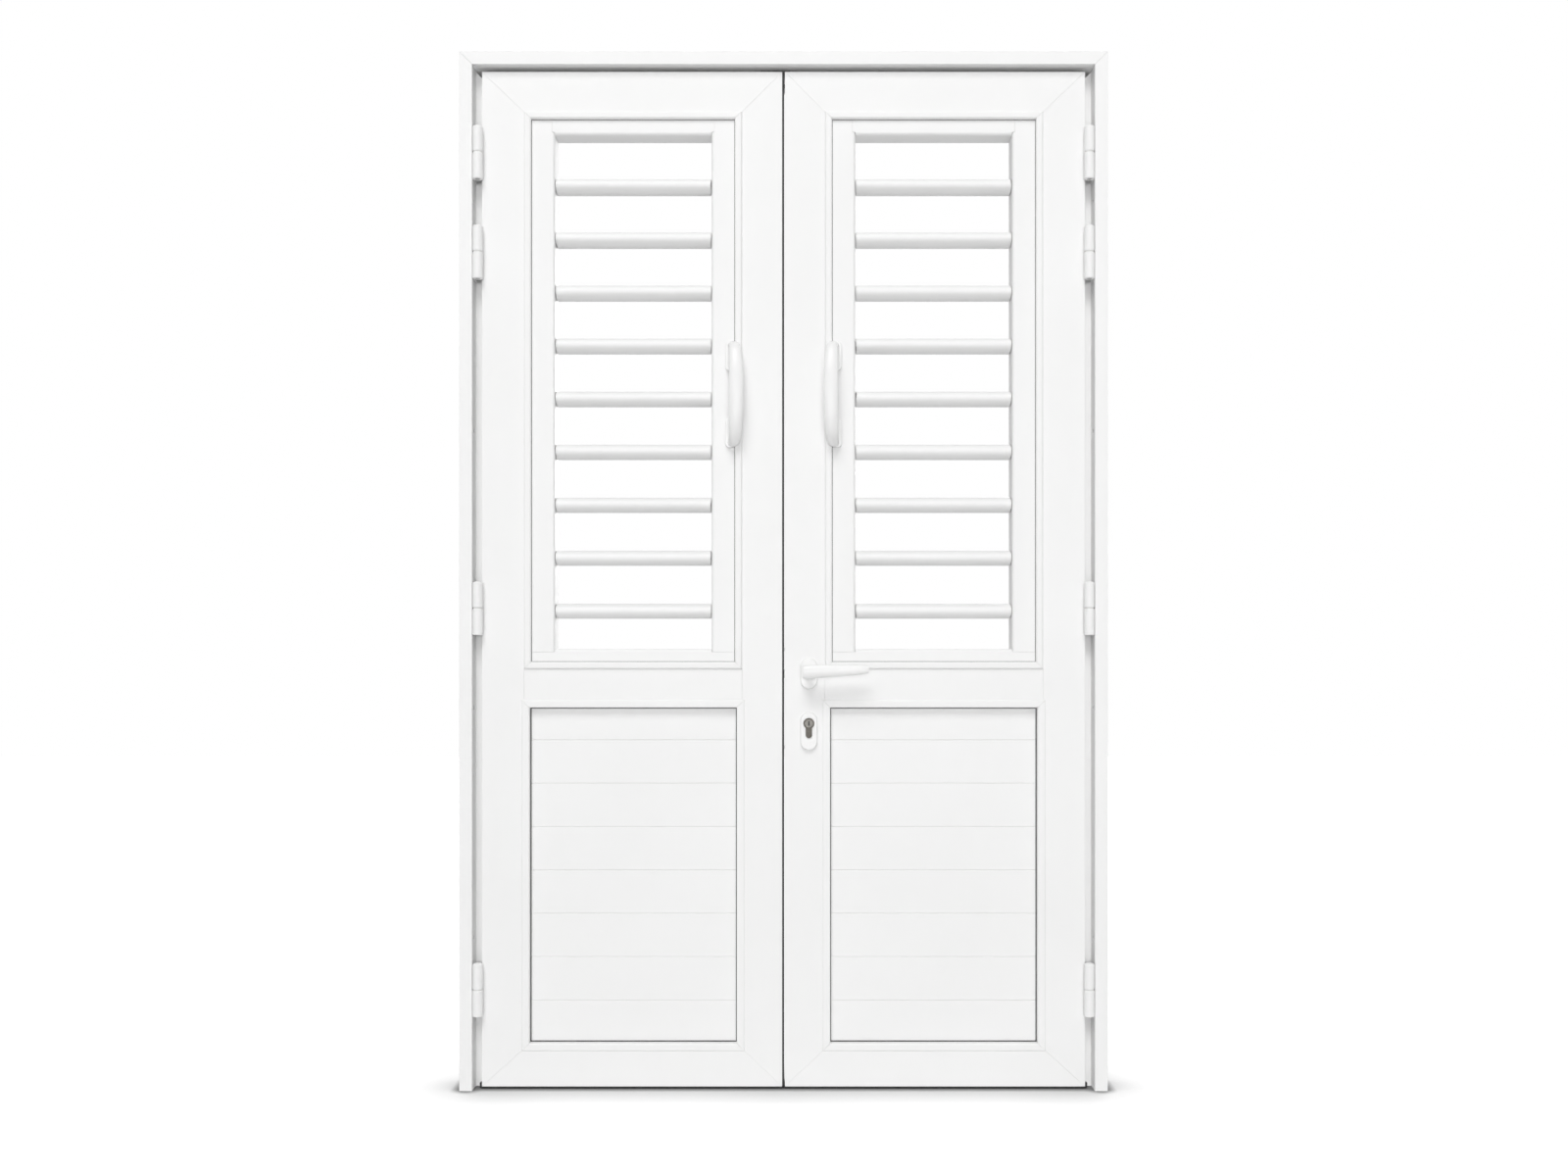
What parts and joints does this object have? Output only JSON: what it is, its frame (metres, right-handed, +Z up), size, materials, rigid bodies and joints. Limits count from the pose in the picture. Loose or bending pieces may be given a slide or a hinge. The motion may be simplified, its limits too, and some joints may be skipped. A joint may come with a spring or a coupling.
{
  "type": "louvered double door with frame",
  "caption": "Double door in its outer frame, each leaf with fixed oval louvre blades above and a planked panel below, pull handles, and a lever lock on the active leaf.",
  "frame": {"origin": "on the floor, midway between the leaves and at the middle of their thickness", "axes": "+X to the right seen from the hinge side that the leaves open towards, +Y away from that side, +Z up"},
  "size_m": [1.32, 0.1672, 2.116],
  "materials": {
    "white_paint": "satin white powder coat",
    "white_hardware": "smooth white enamel",
    "white_nylon": "moulded matt white",
    "nylon": "moulded",
    "mill_aluminium": "mill",
    "steel": "zinc plated",
    "nickel": "dark satin nickel plate",
    "black_rubber": "extruded matt black"
  },
  "bodies": {
    "frame": {"left_jamb": "white_paint", "right_jamb": "white_paint", "head": "white_paint", "frame_corner_cleats": "mill_aluminium", "frame_gasket": "black_rubber", "head_bolt_keep": "steel", "hinge_frame_halves": "white_paint", "hinge_pins": "steel", "hinge_washers": "nylon"},
    "left_leaf": {"left_hinge_stile": "white_paint", "left_meeting_stile": "white_paint", "left_top_rail": "white_paint", "left_mid_rail": "white_paint", "left_bottom_rail": "white_paint", "left_corner_cleats": "mill_aluminium", "left_upper_bead": "white_paint", "left_lower_bead": "white_paint", "left_louvre_stiles": "white_paint", "left_louvre_top_rail": "white_paint", "left_louvre_bottom_rail": "white_paint", "left_louvre_blades": "white_paint", "left_blade_caps": "white_nylon", "left_planks": "white_paint", "left_bottom_seal": "black_rubber", "left_pull_handle": "white_hardware", "left_hinge_halves": "white_paint", "meeting_seal": "black_rubber", "strike_plate": "steel", "flush_bolt_cases": "steel"},
    "right_leaf": {"right_hinge_stile": "white_paint", "right_meeting_stile": "white_paint", "right_top_rail": "white_paint", "right_mid_rail": "white_paint", "right_bottom_rail": "white_paint", "right_corner_cleats": "mill_aluminium", "right_upper_bead": "white_paint", "right_lower_bead": "white_paint", "right_louvre_stiles": "white_paint", "right_louvre_top_rail": "white_paint", "right_louvre_bottom_rail": "white_paint", "right_louvre_blades": "white_paint", "right_blade_caps": "white_nylon", "right_planks": "white_paint", "right_bottom_seal": "black_rubber", "right_pull_handle": "white_hardware", "right_hinge_halves": "white_paint", "lock_case": "steel", "lock_faceplate": "steel", "lever_roses": "white_hardware", "escutcheons": "white_hardware", "cylinder_body": "nickel"},
    "lever_set": {"outer_lever": "white_hardware", "inner_lever": "white_hardware", "spindle": "steel"},
    "latch": {"latch_bolt": "steel"},
    "lock_bolt": {"dead_bolt": "steel"},
    "plug": {"cylinder_plug": "nickel"},
    "upper_bolt": {"top_flush_bolt": "steel"},
    "lower_bolt": {"bottom_flush_bolt": "steel"}
  },
  "joints": [
    {"name": "left_leaf_swing", "type": "hinge", "parent": "frame", "child": "left_leaf", "pos_m": [-0.623, -0.04, 0], "axis": [0, 0, -1], "range_deg": [0, 165]},
    {"name": "right_leaf_swing", "type": "hinge", "parent": "frame", "child": "right_leaf", "pos_m": [0.623, -0.04, 0], "axis": [0, 0, 1], "range_deg": [0, 165]},
    {"name": "lever_turn", "type": "hinge", "parent": "right_leaf", "child": "lever_set", "pos_m": [0.05175, 0, 0.85], "axis": [0, 1, 0], "range_deg": [0, 40], "stiffness_Nm_per_rad": 1.5, "springref_deg": -17.19},
    {"name": "latch_slide", "type": "slide", "parent": "right_leaf", "child": "latch", "axis": [1, 0, 0], "range_m": [0, 0.011]},
    {"name": "plug_turn", "type": "hinge", "parent": "right_leaf", "child": "plug", "pos_m": [0.05175, 0, 0.748], "axis": [0, 1, 0], "range_deg": [0, 360]},
    {"name": "dead_bolt_slide", "type": "slide", "parent": "right_leaf", "child": "lock_bolt", "axis": [-1, 0, 0], "range_m": [0, 0.02]},
    {"name": "top_bolt_slide", "type": "slide", "parent": "left_leaf", "child": "upper_bolt", "axis": [0, 0, 1], "range_m": [0, 0.018]},
    {"name": "bottom_bolt_slide", "type": "slide", "parent": "left_leaf", "child": "lower_bolt", "axis": [0, 0, -1], "range_m": [0, 0.018]}
  ],
  "couplings": [
    {"joint": "latch_slide", "follows": "lever_turn", "m_per_rad": 0.01575},
    {"joint": "dead_bolt_slide", "follows": "plug_turn", "m_per_rad": 0.003183}
  ]
}
